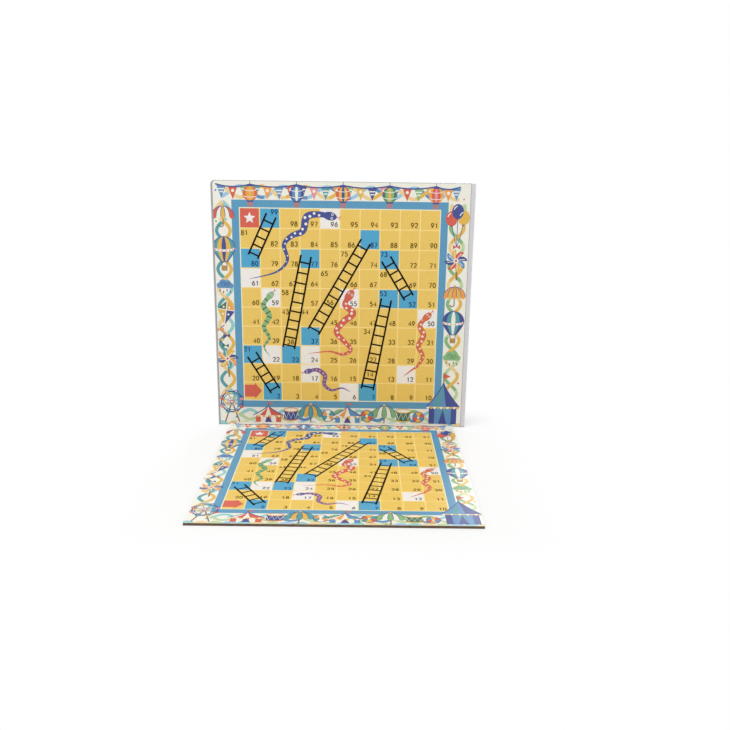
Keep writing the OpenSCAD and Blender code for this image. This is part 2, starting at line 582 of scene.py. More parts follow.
# %% Ladders and snakes on the grid
# A ladder: the squares it joins, its foot and top, its width at the foot, its rungs, and how much further
# apart they get towards the top.
LADDERS = [
    ((2, 21), (1.65, 9.47), (0.45, 7.51), 0.52, 5, 0.0),
    ((7, 53), (6.48, 9.33), (7.39, 4.52), 0.63, 10, 0.12),
    ((23, 77), (2.37, 7.14), (3.3, 2.35), 0.6, 10, 0.12),
    ((37, 87), (3.65, 6.26), (6.3, 1.59), 0.62, 11, 0.0),
    ((52, 73), (8.54, 4.42), (7.33, 2.45), 0.51, 5, 0.0),
    ((80, 99), (0.63, 2.42), (1.58, 0.36), 0.51, 5, 0.0),
]
# A snake: its ink, the ink of its marks, the squares it joins, its width, and its line from head to tail.
SNAKES = [
    ("navy", "square_white", (96, 61), 0.36,
     [(4.5, 0.36), (3.9, 0.28), (3.34, 0.42), (3.15, 1.1), (2.6, 1.35), (2.2, 1.8), (2.35, 2.6), (1.75, 3.2),
      (0.42, 3.55)]),
    ("leaf_green", "deep_green", (59, 22), 0.27,
     [(1.45, 4.4), (1.1, 4.9), (1.4, 5.45), (1.1, 6.05), (1.38, 6.6), (1.1, 7.1), (1.4, 7.6)]),
    ("signal_red", "cream", (55, 24), 0.36,
     [(5.5, 4.35), (5.28, 4.82), (5.68, 5.26), (5.2, 5.72), (4.85, 6.25), (5.25, 6.75), (5.6, 7.2),
      (5.15, 7.45), (4.5, 7.3), (3.4, 7.42)]),
    ("rust", "cream", (50, 12), 0.3,
     [(9.5, 5.4), (9.15, 5.85), (9.35, 6.4), (9.1, 6.95), (9.35, 7.5), (9.1, 8.0), (8.75, 8.28),
      (8.35, 8.6)]),
    ("violet", "pink", (17, 6), 0.24,
     [(3.38, 8.38), (3.85, 8.3), (4.25, 8.6), (4.22, 9.1), (4.6, 9.4), (5.15, 9.28), (5.62, 9.5)]),
]
sky_squares = {number for pair, *_ in LADDERS for number in pair}
white_squares = {number for _, _, pair, *_ in SNAKES for number in pair}
print("sky squares", len(sky_squares), "white squares", len(white_squares))

# %% Grid
BAND = 0.385
LINE = 0.055
OUTLINE = 0.02
START, FINISH = 1, GRID * GRID
ARROW = [(0.03, 0.15), (0.57, 0.15), (0.57, 0.04), (0.94, 0.48), (0.57, 0.92), (0.57, 0.81), (0.03, 0.81)]


def square_of(number):
    """Column and row, from the top left, of a numbered square."""
    row, step = divmod(number - 1, GRID)
    return (step if row % 2 == 0 else GRID - 1 - step), GRID - 1 - row


def ink_on(number, sky, white, plain):
    return sky if number in sky_squares else white if number in white_squares else plain


squares = Stencil("squares")
gap = LINE / 2
Stencil("frame_band").box("band_blue", GROUND, -BAND, -BAND, GRID + BAND, GRID + BAND)
squares.box("line_pale", BEHIND, -OUTLINE, -OUTLINE, GRID + OUTLINE, GRID + OUTLINE)
squares.box("line_straw", BEHIND, gap, gap, GRID - gap, GRID - gap)
for number in range(START, FINISH + 1):
    column, row = square_of(number)
    ink = ink_on(number, "square_sky", "square_white", "square_yellow")
    ink = "signal_red" if number == FINISH else ink
    squares.box(ink, BODY, column + gap, row + gap, column + 1 - gap, row + 1 - gap)
Stencil("squares", square_of(START)).loop("signal_red", TRIM, ARROW)
Stencil("squares", square_of(FINISH)).star("square_white", TRIM, (0.5, 0.5), 0.3)
print("squares", len(drawing["squares"]))

# %% [markdown]
# ## Ladders and snakes
# A ladder is two rails and a row of rungs. The long ones spread towards the foot, and the steep ones have
# their rungs further apart towards the top. A snake is one tapering stroke along a smooth curve, with a
# head, eyes, a forked tongue and a simple pattern along its back.

# %% Ladders
RAIL_W, RUNG_W, TOP_GAP = 0.09, 0.078, 0.515
FOOT_END, TOP_END = 0.14, 0.36
ladders = Stencil("ladders")
for _, foot, top, foot_gap, rungs, opening in LADDERS:
    foot, top = Vector(foot), Vector(top)
    way = (top - foot).normalized()
    across = Vector((-way.y, way.x)) / 2
    rails = [(foot + across * foot_gap * side, top + across * TOP_GAP * side) for side in (1, -1)]
    for rail in rails:
        ladders.stroke("ladder_black", OVER, rail, RAIL_W)
    length = (top - foot).length
    for i in range(rungs):
        up = i / (rungs - 1)
        up += opening * up * (up - 1)
        share = (FOOT_END + (length - FOOT_END - TOP_END) * up) / length
        ladders.stroke("ladder_black", OVER, [start.lerp(end, share) for start, end in rails], RUNG_W)
print("ladder shapes", len(drawing["ladders"]))

# %% Snakes
STRIPE_W, TONGUE_W = 0.07, 0.035
MARK_STEP = 4


def snake(colour, mark, width, points):
    path = curve(points)
    last = len(path) - 1

    def girth(share):
        neck = 0.62 + 0.38 * min(1.0, share / 0.22)
        return width * max(0.06, neck * (1 - max(0.0, share - 0.3) / 0.7) ** 0.8)

    Stencil("snakes").stroke(colour, TRIM, path, girth)
    for i in range(5, last - 6, MARK_STEP):
        across = girth(i / last)
        back = Stencil("snakes", path[i], across, heading(path[i], path[i + 1]))
        if colour == "leaf_green":
            back.stroke(mark, TOP, [(0, -0.55), (0, 0.55)], STRIPE_W / across)
        elif colour == "violet":
            back.dots(mark, TOP, [MIDDLE], 0.24)
        else:
            back.dots(mark, TOP, [(0, 0.16 if (i // MARK_STEP) % 2 else -0.16)], 0.2, steps=16)
    head = Stencil("snakes", path[0], width, heading(path[3], path[0]))
    head.disc(colour, TOP, MIDDLE, 0.95, 0.58)
    for fork in (-0.25, 0.25):
        head.stroke("signal_red", TRIM, [(0.9, 0), (1.25, 0), (1.5, fork)], TONGUE_W / width)
    for side in (-0.26, 0.26):
        head.dots("square_white", OVER, [(0.3, side)], 0.17, steps=18)
        head.dots("ladder_black", LAST, [(0.3, side)], 0.09)


for colour, mark, _, width, points in SNAKES:
    snake(colour, mark, width, points)
print("snake shapes", len(drawing["snakes"]))

# %% [markdown]
# ## Numbers
# Plain numbers, one to a square. A font would do, but ten small figures of lines and ovals are easy to draw
# and keep the same line weight everywhere. A number stands at the bottom right of its square. Where a
# ladder would hide it, it goes to the top or stands between the rails.

# %% Numbers
FIGURE_H, FIGURE_STEP, FIGURE_LINE = 0.24, 0.19, 0.047
FIGURE_RIGHT, FIGURE_BASE = 0.93, 0.885
NUMBER_SPOTS = {number: (0.25, 0.23) for number in (21, 43, 44, 53, 58, 65, 68, 73, 75, 81)}
NUMBER_SPOTS |= {34: (0.45, 0.22), 99: (0.76, 0.2), 14: (0.63, 0.51), 20: (0.65, 0.79), 27: (0.79, 0.72),
                 38: (0.5, 0.81), 56: (0.54, 0.72), 63: (0.64, 0.77), 86: (0.6, 0.77)}
OVALS = {
    "0": [((0.28, 0.5), 0.26, 0.47)],
    "6": [((0.28, 0.68), 0.25, 0.29)],
    "8": [((0.28, 0.27), 0.2, 0.23), ((0.28, 0.73), 0.25, 0.25)],
    "9": [((0.28, 0.32), 0.25, 0.29)],
}
LINES = {
    "1": [[(0.1, 0.2), (0.33, 0.03), (0.33, 0.98)]],
    "2": [arc((0.28, 0.28), 0.25, 0.26, -170, 35, 12) + [(0.03, 0.96), (0.56, 0.96)]],
    "3": [arc((0.27, 0.27), 0.22, 0.24, -160, 85, 12), arc((0.27, 0.72), 0.26, 0.25, -85, 160, 12)],
    "4": [[(0.43, 0.98), (0.43, 0.03), (0.02, 0.68), (0.58, 0.68)]],
    "5": [[(0.5, 0.04), (0.13, 0.04), (0.08, 0.46)], arc((0.27, 0.66), 0.26, 0.3, -135, 145, 14)],
    "6": [[(0.42, 0.03), (0.2, 0.3), (0.05, 0.6)]],
    "7": [[(0.03, 0.04), (0.55, 0.04), (0.2, 0.98)]],
    "9": [[(0.14, 0.97), (0.36, 0.7), (0.51, 0.4)]],
}


def write_number(number):
    text = str(number)
    column, row = square_of(number)
    half_w, half_h = FIGURE_STEP * len(text) / 2, FIGURE_H / 2
    middle = NUMBER_SPOTS.get(number, (FIGURE_RIGHT - half_w, FIGURE_BASE - half_h))
    left, top = column + middle[0] - half_w, row + middle[1] - half_h
    ink = ink_on(number, "number_navy", "number_slate", "number_olive")
    for i, figure in enumerate(text):
        pen = Stencil("numbers", (left + FIGURE_STEP * i, top), FIGURE_H)
        for oval in OVALS.get(figure, []):
            pen.stroke(ink, TOP, ring(*oval, steps=20), FIGURE_LINE / FIGURE_H, closed=True)
        for points in LINES.get(figure, []):
            pen.stroke(ink, TOP, points, FIGURE_LINE / FIGURE_H)


for number in range(START + 1, FINISH):
    write_number(number)
print("number strokes", len(drawing["numbers"]))

# %% [markdown]
# ## Border
# The cream border is a fairground in the same colours as the rest: lanterns and pennants along the top,
# tents, parasols, drums and balls along the bottom, and balloons, kites and pinwheels up the sides. Each
# figure is a short function, measured by its own width, so the border is a list of figures and places.

# %% Panels, scallops and bows
def gores(pen, layer, colours, edge):
    """Panels side by side: edge(share) is the line between two panels, with share from -1 to 1."""
    count = len(colours)
    for i, colour in enumerate(colours):
        pen.loop(colour, layer, edge(2 * i / count - 1) + edge(2 * (i + 1) / count - 1)[::-1])


def scallops(pen, layer, colours, y, drop):
    """A row of half rounds that hang side by side, one unit long in all."""
    count = len(colours)
    for i, colour in enumerate(colours):
        middle = (((2 * i + 1) / count - 1) * 0.5, y)
        pen.loop(colour, layer, arc(middle, 0.5 / count, drop, 0, 180, 8))


def bow(pen, ink, width, height):
    for x in (-width, width):
        pen.loop(ink, TRIM, [MIDDLE, (x, -height), (x, height)])


# %% Balloons, lanterns and parasols
def hot_air_balloon(pen, colours):
    def seam(share):
        neck = [(share * (0.5 - 0.36 * t ** 1.4), 0.62 * t) for t in (0.25, 0.5, 0.75, 1.0)]
        return arc(MIDDLE, 0.5 * share, 0.5, -90, 0, 9) + neck

    gores(pen, BODY, colours, seam)
    belt = arc(MIDDLE, 0.49, 0.12, 3, 177, 16)
    pen.stroke("square_white", TRIM, belt, 0.1)
    pen.dots("rust", TOP, belt[1::2], 0.03)
    pen.stroke("navy", TRIM, seam(-1) + seam(1)[::-1], 0.035)
    for side in (-0.13, 0.13):
        pen.stroke("brown", BODY, [(side, 0.6), (side * 0.8, 0.84)], 0.03)
    pen.box("brown", TRIM, -0.13, 0.8, 0.13, 1.02)
    for y in (0.85, 0.91, 0.97):
        pen.stroke("mustard", TOP, [(-0.12, y), (0.12, y)], 0.025)


def balloon_bunch(pen, colours):
    knot = (0, 1.35)
    for (x, y), colour in zip(((-0.27, 0.1), (0.27, 0.05), (0, -0.22)), colours):
        pen.stroke("navy", BEHIND, curve([(x, y), (x * 0.6, 0.8), knot]), 0.025)
        pen.disc(colour, TRIM, (x, y), 0.26, 0.33)
        pen.stroke("square_white", TOP, arc((x, y), 0.18, 0.24, 200, 260, 8), 0.045)
        pen.dots("navy", TOP, [(x, y + 0.33)], 0.035)
    bow(pen.again(*knot), "signal_red", 0.16, 0.1)


def lantern(pen, colours):
    pen.stroke("navy", BEHIND, [(0, -0.8), (0, 0.6)], 0.035)
    gores(pen, BODY, colours, lambda share: arc(MIDDLE, 0.46 * share, 0.48, -90, 90, 18))
    for y in (-0.26, 0.14):
        pen.stroke("cream", TRIM, arc((0, y), 0.42, 0.1, 8, 172, 12), 0.04)
    for y in (-0.48, 0.48):
        pen.box("navy", TRIM, -0.2, y - 0.05, 0.2, y + 0.05)
    for i in range(-2, 3):
        pen.stroke("rust", BODY, [(0.06 * i, 0.53), (0.09 * i, 0.85)], 0.04)


def parasol(pen, colours):
    def rib(share):
        return arc(MIDDLE, 0.5 * share, 0.47, -90, 0, 9)

    handle = arc((-0.09, 0.36), 0.09, 0.09, 0, 180, 8)
    pen.stroke("brown", BEHIND, [(0, -0.55), (0, 0.36)] + handle, 0.045)
    gores(pen, BODY, colours, rib)
    scallops(pen, TRIM, colours, 0, 0.09)
    for i in range(len(colours) + 1):
        pen.stroke("navy", TOP, rib(2 * i / len(colours) - 1), 0.022)
    pen.dots("mustard", TOP, [(0, -0.5)], 0.05)


# %% Tents, wheel and kite
KITE_TURN, KITE_KNOTS = 8, 4


def tent(pen, height, colours):
    tall = height / pen.size
    eave = -0.42 * tall

    def wall(share):
        return [(0.42 * share, eave), (0.42 * share, 0)]

    def roof(share):
        return [(0.5 * share * (t / 6) ** 1.3, tall * (0.58 * t / 6 - 1)) for t in range(7)]

    gores(pen, BODY, colours, wall)
    gores(pen, TRIM, colours[1:] + colours[:1], roof)
    pen.stroke("navy", TOP, roof(-1)[::-1] + roof(1), 0.028)
    scallops(pen, TOP, ["cream", "mustard"] * len(colours), eave, 0.07)
    pen.loop("navy", TRIM, [(-0.13, 0), (0, -0.36 * tall), (0.13, 0)])
    pen.stroke("brown", BODY, [(0, -tall), (0, -1.22 * tall)], 0.03)
    pen.loop("signal_red", TRIM, [(0, -1.22 * tall), (0.2, -1.15 * tall), (0, -1.08 * tall)])


def big_wheel(pen, colours):
    for x in (-0.34, 0.34):
        pen.stroke("brown", BEHIND, [MIDDLE, (x, 1)], 0.06)
    for radius, ink, width in ((0.5, "navy", 0.06), (0.4, "teal", 0.035), (0.2, "mustard", 0.04)):
        pen.stroke(ink, BODY, ring(MIDDLE, radius, steps=40), width, closed=True)
    for i in range(8):
        spoke = pen.again(turn=45 * i + 22.5)
        spoke.stroke("mid_blue", BODY, [(0.06, 0), (0.5, 0)], 0.03)
        seat = spoke.again(0.5, 0)
        seat.loop(colours[i % len(colours)], TOP, arc(MIDDLE, 0.1, 0.12, 0, 180, 10))
        seat.stroke("navy", TOP, arc(MIDDLE, 0.1, 0.1, 180, 360, 10), 0.025)
    pen.disc("signal_red", TRIM, MIDDLE, 0.09)
    pen.star("cream", TOP, MIDDLE, 0.07)


def kite(pen, colours):
    pen = pen.again(turn=KITE_TURN)
    cross, top, right, foot, left = (0, -0.08), (0, -0.5), (0.4, -0.08), (0, 0.62), (-0.4, -0.08)
    for colour, (a, b) in zip(colours, ((top, right), (right, foot), (foot, left), (left, top))):
        pen.loop(colour, BODY, [cross, a, b])
    for bar in ((top, foot), (left, right)):
        pen.stroke("cream", TRIM, bar, 0.04)
    pen.dots("cream", TRIM, [(-0.13, -0.2), (0.13, -0.2), (-0.12, 0.12), (0.12, 0.12)], 0.045)
    tail = [(0.15 * (-1) ** i, 0.62 + 0.24 * i) for i in range(1, KITE_KNOTS + 1)]
    pen.stroke("navy", BODY, curve([foot] + tail, steps=6), 0.035)
    for i, knot in enumerate(tail):
        bow(pen.again(*knot), colours[i % len(colours)], 0.15, 0.09)


# %% Toys and clouds
VANES = 8


def pinwheel(pen, colours):
    pen.stroke("brown", BEHIND, [MIDDLE, (0.06, 0.9)], 0.07)
    for i in range(VANES):
        vane = pen.again(turn=360 * i / VANES)
        vane.loop(colours[i % len(colours)], BODY, [MIDDLE] + arc((0.26, 0), 0.26, 0.2, 0, -180, 10)[:-1])
        vane.stroke("cream", TRIM, [(0.1, -0.04), (0.4, -0.07)], 0.03)
    pen.disc("cream", TRIM, MIDDLE, 0.11, steps=20)
    pen.disc("signal_red", TOP, MIDDLE, 0.06, steps=16)


def ball(pen, colours):
    wedge = 180 / len(colours)
    for i, colour in enumerate(colours * 2):
        pen.loop(colour, BODY, [MIDDLE] + arc(MIDDLE, 0.5, 0.5, wedge * i, wedge * (i + 1), 6))
    pen.stroke("navy", TRIM, ring(MIDDLE, 0.5), 0.05, closed=True)
    pen.dots("cream", TRIM, [MIDDLE], 0.1)


def drum(pen, side, trim):
    top, foot = (0, -0.3), arc((0, 0.3), 0.45, 0.13, 0, 180, 14)
    pen.loop(side, BODY, foot + [(-0.45, -0.3), (0.45, -0.3)])
    pen.stroke("cream", TRIM, [(0.15 * i - 0.45, 0.3 if i % 2 else -0.12) for i in range(7)], 0.05)
    pen.stroke(trim, TOP, foot, 0.07)
    pen.disc("cream", TRIM, top, 0.45, 0.13)
    pen.stroke(trim, TOP, ring(top, 0.45, 0.13, steps=28), 0.06, closed=True)


def cloud(pen, colour, trim):
    for x, y, radius in ((-0.36, 0.06, 0.18), (-0.13, -0.08, 0.25), (0.16, -0.05, 0.22), (0.38, 0.08, 0.16)):
        pen.disc(colour, BEHIND, (x, y), radius, steps=26)
    pen.box(colour, BEHIND, -0.37, 0.05, 0.39, 0.24)
    pen.stroke(trim, BODY, arc((-0.12, -0.02), 0.12, 0.12, 150, 470, 18), 0.035)
    pen.stroke(trim, BODY, arc((0.17, 0.02), 0.1, 0.1, 70, 390, 18), 0.035)
    for i in range(4):
        pen.disc(trim, BODY, (0.22 * i - 0.33, 0.38 + 0.1 * (i % 2)), 0.035, 0.075, steps=14)


# %% [markdown]
# ## Laying out the border
# A printed border like this leaves little bare paper. So it is laid in three passes, from the paper up:
# curled streamers along all four sides, then the figures, and last a scatter of dots and stars wherever a
# gap is left. The scatter could be random. Steps of a fixed fraction fill more evenly, and are the same
# every time.

# %% Streamers behind the figures
LEFT_U, RIGHT_U, TOP_V, BOTTOM_V, FOOT_V = -0.82, 10.86, -0.78, 10.8, 11.22
STREAMER_TURNS, STREAMER_W, SWING = 11, 0.17, 0.34
# A streamer's start, run and swing, and the inks of its two ribbons.
STREAMERS = [
    ((LEFT_U, -0.3), (0, 10.6), (1, 0), ("aqua", "teal"), ("sand", "mustard")),
    ((RIGHT_U, -0.3), (0, 10.6), (1, 0), ("pale_green", "leaf_green"), ("sand", "mustard")),
    ((-0.9, TOP_V), (11.8, 0), (0, 0.8), ("pale_blue", "mid_blue"), ("sand", "mustard")),
    ((-0.3, BOTTOM_V), (10.6, 0), (0, 0.8), ("aqua", "mid_blue"), ("pale_green", "leaf_green")),
]
border = Stencil("border")


def streamer(start, run, swing, sides, phase):
    """A curled paper ribbon: a wave whose two sides show in turn."""
    for half in range(STREAMER_TURNS):
        wave = []
        for t in (half + i / 8 for i in range(9)):
            along, off = t / STREAMER_TURNS, SWING * math.sin(math.pi * (t + phase))
            wave.append(tuple(start[k] + run[k] * along + swing[k] * off for k in (0, 1)))
        border.stroke(sides[half % 2], GROUND, wave, STREAMER_W)


for number, (start, run, swing, *ribbons) in enumerate(STREAMERS):
    for half, sides in enumerate(ribbons):
        streamer(start, run, swing, sides, number * 0.3 + half)
print("streamer turns", len(drawing["border"]))

# %% Pennants, lanterns and hills
def mirrored(*half):
    """Inks for an odd number of panels, the same from either side."""
    return [*half, *half[-2::-1]]


PENNANT_INKS = ["mid_blue", "mustard", "teal", "signal_red", "navy", "orange", "leaf_green", "pink"]
CORD_V, CORD_SAG, CORD_W = -1.14, 0.5, 0.06
LANTERN_V, LANTERN_SIZE = -0.7, 0.78
LANTERNS = {
    0.55: mirrored("rust", "orange", "mustard"),
    2.85: mirrored("navy", "mid_blue", "cream"),
    5.15: mirrored("signal_red", "mustard", "navy"),
    7.45: mirrored("deep_green", "leaf_green", "mustard"),
    9.75: mirrored("orange", "signal_red", "pink"),
}
POSTS = [-1.15, *LANTERNS, 10.95]
HILL_INKS = ["aqua", "sand", "pale_green", "pale_blue"]
HILLS, HILL_START, HILL_STEP, HILL_V = 22, -1.2, 0.6, 11.52


def pennants(start, end, count, first):
    """A cord that sags between two posts, with flags on it."""
    def sag(t):
        return start + (end - start) * t, CORD_V + CORD_SAG * t * (1 - t)

    border.stroke("navy", TRIM, [sag(t / 20) for t in range(21)], CORD_W)
    for i in range(count):
        flag = border.again(*sag((i + 0.5) / count))
        ink = PENNANT_INKS[(first + 3 * i) % len(PENNANT_INKS)]
        flag.loop(ink, FLAGS, [(-0.23, 0), (0.23, 0), (0, 0.62)])
        if i % 2:
            flag.dots("cream", BEHIND, [(0, 0.19)], 0.08)
        else:
            for x, y in ((0.15, 0.17), (0.09, 0.31)):
                flag.stroke("cream", BEHIND, [(-x, y), (x, y)], 0.06)


for i, (start, end) in enumerate(zip(POSTS, POSTS[1:])):
    pennants(start, end, 4 if 0 < i < len(LANTERNS) else 3, i * 2)
for u, lantern_inks in LANTERNS.items():
    lantern(Stencil("border", (u, LANTERN_V), LANTERN_SIZE), lantern_inks)
for i in range(HILLS):
    place = (HILL_START + HILL_STEP * i, HILL_V)
    border.disc(HILL_INKS[i % len(HILL_INKS)], GROUND, place, HILL_STEP * 0.62)
print("border shapes so far", len(drawing["border"]))

# %% Figures on the other three sides
# A figure, its place and size, and its inks. A tent's height comes before its inks.
FIGURES = [
    (parasol, LEFT_U, 0.45, 1.12, mirrored("signal_red", "cream", "mustard")),
    (hot_air_balloon, LEFT_U, 2.0, 1.12, mirrored("teal", "mustard", "navy")),
    (cloud, LEFT_U, 3.85, 0.8, "mid_blue", "navy"),
    (kite, LEFT_U, 5.25, 1.14, ["orange", "navy", "mustard", "deep_green"]),
    (pinwheel, LEFT_U, 7.75, 1.1, ["navy", "orange", "teal", "mustard"]),
    (big_wheel, -0.66, 10.1, 1.12, ["signal_red", "mustard", "teal", "pink"]),
    (balloon_bunch, RIGHT_U, 0.3, 1.12, ["signal_red", "mustard", "navy"]),
    (pinwheel, RIGHT_U, 2.5, 1.1, ["navy", "mid_blue", "mustard", "signal_red"]),
    (parasol, RIGHT_U, 4.35, 1.12, mirrored("orange", "mustard", "orange")),
    (hot_air_balloon, RIGHT_U, 5.65, 1.1, mirrored("navy", "teal", "cream")),
    (cloud, RIGHT_U, 7.5, 0.85, "leaf_green", "deep_green"),
    (tent, 10.5, FOOT_V, 1.75, 2.3, mirrored("navy", "mid_blue", "teal")),
    (tent, 1.25, FOOT_V, 1.6, 0.92, mirrored("signal_red", "cream", "signal_red")),
    (drum, 2.45, 10.76, 0.82, "navy", "orange"),
    (parasol, 3.5, 10.82, 1.25, mirrored("teal", "mustard", "teal")),
    (ball, 4.42, 10.82, 0.66, ["orange", "cream", "teal"]),
    (tent, 5.45, FOOT_V, 1.55, 0.92, mirrored("mid_blue", "cream", "orange")),
    (ball, 6.48, 10.82, 0.66, ["signal_red", "mustard", "teal"]),
    (parasol, 7.4, 10.82, 1.25, mirrored("leaf_green", "cream", "leaf_green")),
    (drum, 8.42, 10.76, 0.82, "deep_green", "mustard"),
    (ball, 9.22, 10.86, 0.6, ["mid_blue", "mustard", "signal_red"]),
]
for figure, u, v, size, *details in FIGURES:
    figure(Stencil("border", (u, v), size), *details)
print("border shapes so far", len(drawing["border"]))

# %% Confetti in the gaps
CONFETTI, CONFETTI_GAP = 900, 0.13
CONFETTI_LOW, CONFETTI_RUN = (-1.2, -1.1), (12.5, 12.25)
FRACTIONS = (0.7548776662, 0.5698402910)
BAND_CLEARANCE = BAND + 0.12
STAR_R, DOT_R = 0.1, 0.05
taken = [p for _, _, points, _, _ in drawing["border"] for p in points]


def confetti_place(i):
    """Evenly scattered places: each step adds two fixed fractions that never line up."""
    return tuple(low + run * (i * part % 1) for low, run, part in zip(CONFETTI_LOW, CONFETTI_RUN, FRACTIONS))


for i in range(CONFETTI):
    place = confetti_place(i)
    in_grid = all(-BAND_CLEARANCE < x < GRID + BAND_CLEARANCE for x in place)
    if in_grid or min(math.dist(place, p) for p in taken) < CONFETTI_GAP:
        continue
    taken.append(place)
    ink = PENNANT_INKS[i % len(PENNANT_INKS)]
    if i % 3 == 0:
        border.star(ink, GROUND, place, STAR_R)
    else:
        border.dots(ink, GROUND, [place], DOT_R)
print("border shapes", len(drawing["border"]))

# %% [markdown]
# ## Printing the leaves
# Now every shape becomes a slab on each leaf. A slab has a top, a bottom on the sheet and a side wall, so
# each printed piece is a closed mesh. Shapes that run past the edge of the sheet are trimmed to it, as the
# printer's knife would.

# %% Trim
def trimmed(points, low, high):
    """A closed outline cut to a rectangle, one side at a time."""
    for axis, limit, keep in ((0, low[0], 1), (0, high[0], -1), (1, low[1], 1), (1, high[1], -1)):
        cut = []
        for i, here in enumerate(points):
            before = points[i - 1]
            inside, was_inside = (here[axis] - limit) * keep >= 0, (before[axis] - limit) * keep >= 0
            if inside != was_inside:
                share = (limit - before[axis]) / (here[axis] - before[axis])
                cut.append(tuple(before[k] + (here[k] - before[k]) * share for k in (0, 1)))
            if inside:
                cut.append(here)
        points = cut
    return points


def parts_on(leaf, points, faces, rims):
    """A shape as it is where it fits on the leaf, and otherwise its faces cut to the sheet, one by one."""
    if all(leaf.low[k] <= p[k] <= leaf.high[k] for p in points for k in (0, 1)):
        return [(points, faces, rims)]
    cut = [trimmed([points[i] for i in face], leaf.low, leaf.high) for face in faces]
    orders = [(part, list(range(len(part)))) for part in cut if len(part) > 2]
    return [(part, [order], [order]) for part, order in orders]


# %% Build the printed pieces
def add_solid(name, solid, *materials):
    """Makes an object of a bmesh."""
    mesh = bpy.data.meshes.new(name)
    solid.to_mesh(mesh)
    solid.free()
    for material in materials:
        mesh.materials.append(material)
    return add_object(name, mesh)


def print_piece(piece, shapes, leaf):
    solid = bmesh.new()
    names = sorted({ink for ink, *_ in shapes})
    for ink, top, *shape in shapes:
        for points, faces, rims in parts_on(leaf, *shape):
            low, high = ([solid.verts.new(leaf.at(u, v, h)) for u, v in points] for h in (0.0, top))
            outlines = [[high[i] for i in face] for face in faces]
            outlines += [[low[i] for i in reversed(face)] for face in faces]
            for rim in rims:
                outlines += [(low[a], low[b], high[b], high[a]) for a, b in zip(rim, rim[1:] + rim[:1])]
            for outline in outlines:
                solid.faces.new(outline).material_index = names.index(ink)
    made = add_solid(f"{leaf.name}_{piece}", solid, *(inks[name] for name in names))
    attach(made, leaf.body)
    return made


for leaf in leaves:
    for piece, shapes in drawing.items():
        made = print_piece(piece, shapes, leaf)
        print(made.name, len(made.data.polygons), "faces")

# %% [markdown]
# ## Cover paper
# The upper leaf is wrapped like the cover of a book: one pale sheet over the back, round the edges and in
# over the face. Paper can't turn a sharp corner, so this piece stands in for the solid with softly rounded
# edges.

# %% Cover paper
EDGE_ROUND = 0.35 * MM
LEFT_CORNER_R, RIGHT_CORNER_R = 4.0 * MM, 1.0 * MM


def cover_paper():
    low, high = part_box("upper_cover_paper")
    right_x, left_x = high.x - RIGHT_CORNER_R, low.x + LEFT_CORNER_R
    outline = [(low.x, low.z), (high.x, low.z)]
    for r, x, start in ((RIGHT_CORNER_R, right_x, 0), (LEFT_CORNER_R, left_x, 90)):
        outline += arc((x, high.z - r), r, r, start, start + 90, 10)
    solid = bmesh.new()
    face = solid.faces.new([solid.verts.new((x, low.y, z)) for x, z in outline])
    raised = bmesh.ops.extrude_face_region(solid, geom=[face])["geom"]
    back = [item for item in raised if isinstance(item, bmesh.types.BMVert)]
    bmesh.ops.translate(solid, vec=(0, high.y - low.y, 0), verts=back)
    bmesh.ops.recalc_face_normals(solid, faces=solid.faces)
    turned_edges = [e for e in solid.edges if abs(e.verts[0].co.y - e.verts[1].co.y) < EDGE_ROUND]
    bmesh.ops.bevel(solid, geom=turned_edges, offset=EDGE_ROUND, segments=3, profile=0.5, affect="EDGES")
    made = add_solid("upper_wrap", solid, cover_finish)
    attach(made, "upper_leaf")
    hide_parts("upper_cover_paper")
    return made


wrap = cover_paper()
print(wrap.name, len(wrap.data.polygons), "faces")

# %% [markdown]
# ## Cloth at the fold
# One strip of cloth runs from under the lower sheet, over the crease and up under the upper sheet. It is a
# single thin band, shaped as it lies with the board standing open.

# %% Path of the cloth
crease = Vector(frame["joints"][0]["pos_m"])
print("crease at", [round(x / MM, 2) for x in crease], "mm")


def cloth_path(first_y, lip_z, last_z):
    """The middle of the cloth, seen from the side. A step is y, z and how far off them it lies, in mm."""
    board_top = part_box("lower_board")[1]
    board_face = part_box("upper_board")[0]
    steps = [
        (first_y, board_top.z, 0, -0.09),
        (board_top.y, board_top.z, -0.1, -0.09),
        (board_top.y, board_top.z, 0.1, 0.12),
        (board_top.y, crease.z, 0.6, -0.16),
        (crease.y, crease.z, -0.5, -0.13),
        (crease.y, crease.z, -0.05, 0.02),
        (crease.y, crease.z, 0.12, 0.3),
        (board_face.y, lip_z, -0.1, 0.1),
        (board_face.y, lip_z, 0.09, 0.5),
        (board_face.y, last_z, 0.09, 0),
    ]
    return curve([(y + off_y * MM, z + off_z * MM) for y, z, off_y, off_z in steps], steps=4)


# %% Hinge cloth
CLOTH_T = 0.14 * MM
CLOTH_COLUMNS = 24


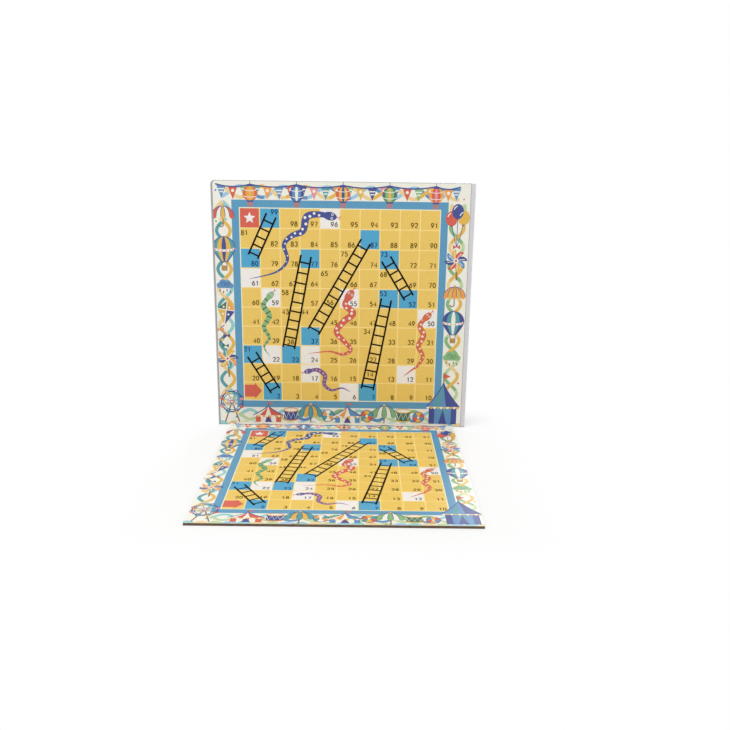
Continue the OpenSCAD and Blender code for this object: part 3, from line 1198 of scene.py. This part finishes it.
def hinge_cloth():
    lower_low, lower_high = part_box("hinge_cloth_lower")
    upper_low, upper_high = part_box("hinge_cloth_upper")
    middle = cloth_path(lower_low.y, upper_low.z, upper_high.z)
    length = sum(math.dist(a, b) for a, b in zip(middle, middle[1:]))
    over, under = ribbon(middle, CLOTH_T)
    section = over + under[::-1]
    size = len(section)
    solid = bmesh.new()
    rings = []
    for column in range(CLOTH_COLUMNS + 1):
        x = lower_low.x + (lower_high.x - lower_low.x) * column / CLOTH_COLUMNS
        rings.append([solid.verts.new((x, y, z)) for y, z in section])
    for a, b in zip(rings, rings[1:]):
        for i in range(size):
            solid.faces.new((a[i - 1], a[i], b[i], b[i - 1]))
    for end in (rings[0], rings[-1]):
        for i in range(size // 2 - 1):
            solid.faces.new((end[i], end[i + 1], end[size - 2 - i], end[size - 1 - i]))
    bmesh.ops.recalc_face_normals(solid, faces=solid.faces)
    made = add_solid("hinge_cloth", solid, cloth_finish)
    for polygon in made.data.polygons:
        polygon.use_smooth = True
    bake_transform(made)
    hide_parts("hinge_cloth_lower", "hinge_cloth_upper")
    return made, length


cloth, cloth_length = hinge_cloth()
print(cloth.name, round(cloth_length / MM, 2), "mm across the fold")

# %% [markdown]
# ## Floor and light
# The picture has a white ground and very soft light. The floor is a pale matt plane that keeps the shadows
# near the board and fades to plain white further out, and the world is white to the camera. The floor is
# open under the lower leaf and clear from below, so that the underside can be looked at too. A wide lamp
# above and in front gives the paper a direction of light, weaker ones light the back and the underside, and
# the world fills the rest.

# %% Floor
SHADOW_REACH = 60 * MM
NEAR_WHITE = 0.5
FLOOR_GREY = 0.86
FLOOR_REACH = Vector((6.0, 6.0, 0))
FLOOR_DROP = 0.02 * MM
OPENING_INSET = Vector((2, 2, 0)) * MM


def floor_finish():
    finish = Finish("floor")
    finish.surface(Base_Color=grey(FLOOR_GREY), Roughness=0.9, Specular_IOR_Level=0.0)
    white = finish.add("Emission", Color=grey(1.0), Strength=1.0).outputs[0]
    beside = finish.vector("ABSOLUTE", finish.place)
    past_edge = finish.vector("SUBTRACT", beside, (cad_high.x, cad_high.y, 0))
    distance = finish.vector("LENGTH", finish.vector("MAXIMUM", past_edge, (0, 0, 0)))
    whiteness = finish.fade(distance, 0.0, SHADOW_REACH, NEAR_WHITE, 1.0)
    share = finish.maths("MULTIPLY", whiteness, finish.shown())
    from_above = finish.blend(share, finish.shader.outputs[0], white)
    below = finish.add("NewGeometry").outputs["Backfacing"]
    clear = finish.add("BsdfTransparent").outputs[0]
    finish.fill(finish.tree.nodes["Material Output"], Surface=finish.blend(below, from_above, clear))
    return finish.material


def floor():
    mesh = bpy.data.meshes.new("floor")
    low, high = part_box("lower_back_sheet")
    corners = []
    for a, b in ((-FLOOR_REACH, FLOOR_REACH), (low + OPENING_INSET, high - OPENING_INSET)):
        corners += [(x, y, -FLOOR_DROP) for x, y in ((a.x, a.y), (b.x, a.y), (b.x, b.y), (a.x, b.y))]
    mesh.from_pydata(corners, [], [(i, (i + 1) % 4, 4 + (i + 1) % 4, 4 + i) for i in range(4)])
    mesh.materials.append(floor_finish())
    made = add_object("floor", mesh)
    return made


print(floor().name, "open under the lower leaf")

# %% Light
WORLD_FILL = 0.59
world = bpy.data.worlds.new("world")
bpy.context.scene.world = world
world.use_nodes = True
sky = Nodes(world.node_tree)
fill = sky.fill(sky.tree.nodes["Background"], Color=grey(1.0), Strength=WORLD_FILL).outputs[0]
white = sky.add("Background", Color=grey(1.0), Strength=1.0).outputs[0]
sky.fill(sky.tree.nodes["World Output"], Surface=sky.blend(sky.shown(), fill, white))


def softbox(name, place, aim, size, watts):
    lamp = bpy.data.lights.new(name, "AREA")
    lamp.shape = "SQUARE"
    lamp.size = size
    lamp.energy = watts
    made = add_object(name, lamp)
    made.location = place
    made.rotation_euler = (Vector(aim) - Vector(place)).to_track_quat("-Z", "Y").to_euler()


softbox("key", (-0.5, -0.6, 1.73), (0, 0.02, 0.05), 1.2, 22.5)
softbox("back", (0.35, 1.5, 0.3), (0, 0.1, 0.12), 0.5, 6.7)
softbox("below", (0, 0, -1.5), (0, 0, 0), 1.2, 10.0)
